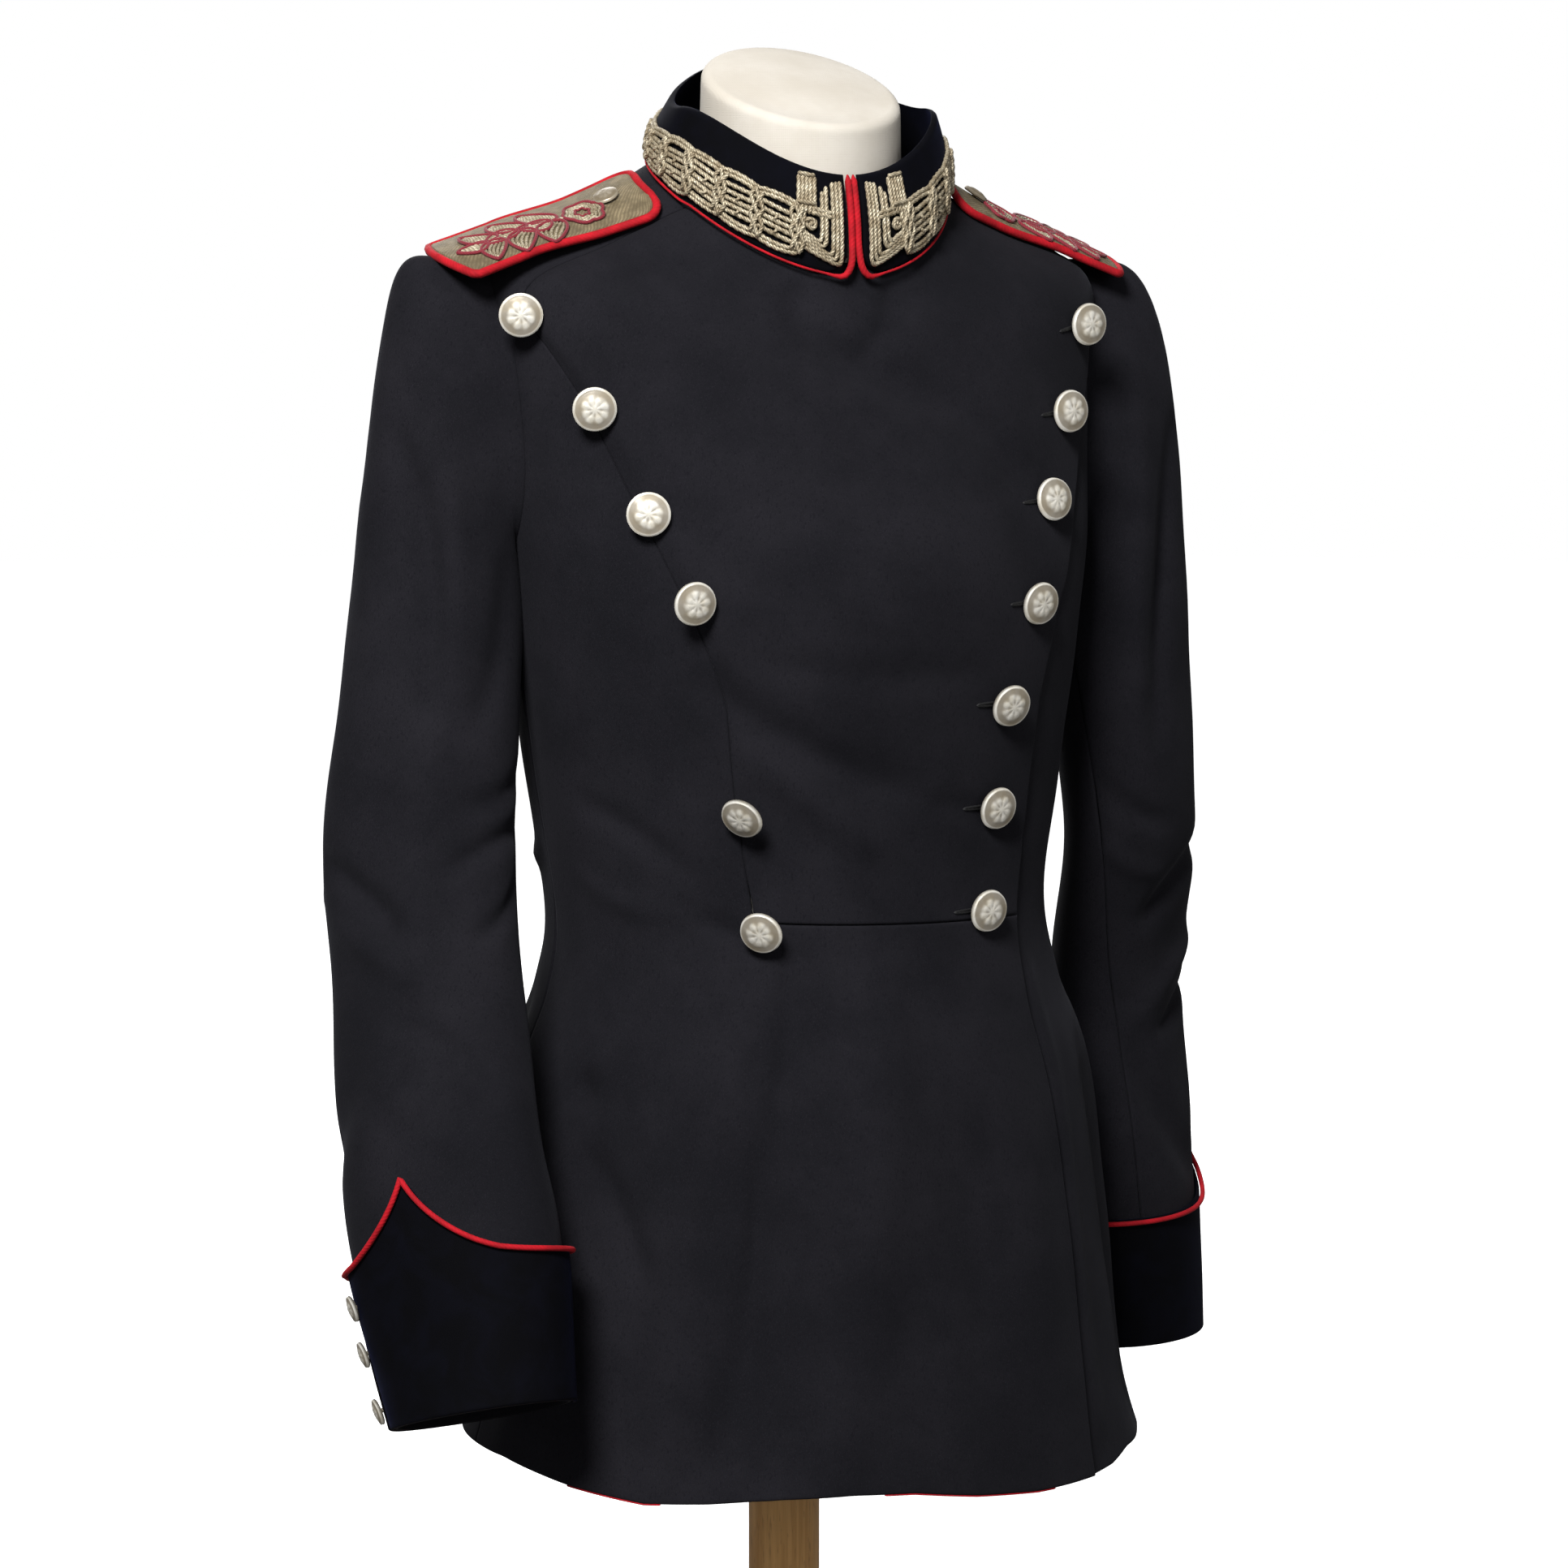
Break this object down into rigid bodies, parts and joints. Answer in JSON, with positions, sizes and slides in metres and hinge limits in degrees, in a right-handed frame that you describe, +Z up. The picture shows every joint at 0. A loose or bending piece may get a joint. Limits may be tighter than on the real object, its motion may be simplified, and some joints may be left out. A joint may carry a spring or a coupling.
{
  "type": "uniform jacket on dress form",
  "caption": "Double-breasted dark wool uniform jacket with stand collar, shoulder boards and peaked cuffs, worn by a limbless dress form on a post and round foot.",
  "frame": {"origin": "centre of the round foot's underside", "axes": "+Z up, -Y the way the wearer faces, +X to the wearer's left"},
  "size_m": [0.5836, 0.3467, 1.043],
  "materials": {
    "wool": "matt felted blue-black wool",
    "velvet": "dark navy velvet",
    "red_cloth": "red cloth piping",
    "metal_lace": "tarnished metal thread",
    "silver": "tarnished white metal",
    "canvas": "cream canvas",
    "beech": "satin pale wood"
  },
  "bodies": {
    "root": {"right_front": "wool", "right_lapel": "wool", "left_front": "wool", "back_right": "wool", "back_left": "wool", "sleeve_top_r": "wool", "sleeve_under_r": "wool", "sleeve_top_l": "wool", "sleeve_under_l": "wool", "cuff_r": "velvet", "cuff_l": "velvet", "collar": "velvet", "cuff_piping_r": "red_cloth", "cuff_piping_l": "red_cloth", "collar_piping_r": "red_cloth", "collar_piping_l": "red_cloth", "board_piping_r": "red_cloth", "board_piping_l": "red_cloth", "collar_embroidery_r": "metal_lace", "collar_embroidery_l": "metal_lace", "board_r": "metal_lace", "board_l": "metal_lace", "board_button_r": "silver", "board_button_l": "silver", "button_r_1": "silver", "button_r_2": "silver", "button_r_3": "silver", "button_r_4": "silver", "button_r_6": "silver", "button_r_7": "silver", "button_l_1": "silver", "button_l_2": "silver", "button_l_3": "silver", "button_l_4": "silver", "button_l_5": "silver", "button_l_6": "silver", "button_l_7": "silver", "cuff_button_r_1": "silver", "cuff_button_r_2": "silver", "cuff_button_r_3": "silver", "cuff_button_l_1": "silver", "cuff_button_l_2": "silver", "cuff_button_l_3": "silver", "dress_form": "canvas", "stand_post": "beech", "stand_base": "beech"}
  },
  "joints": []
}
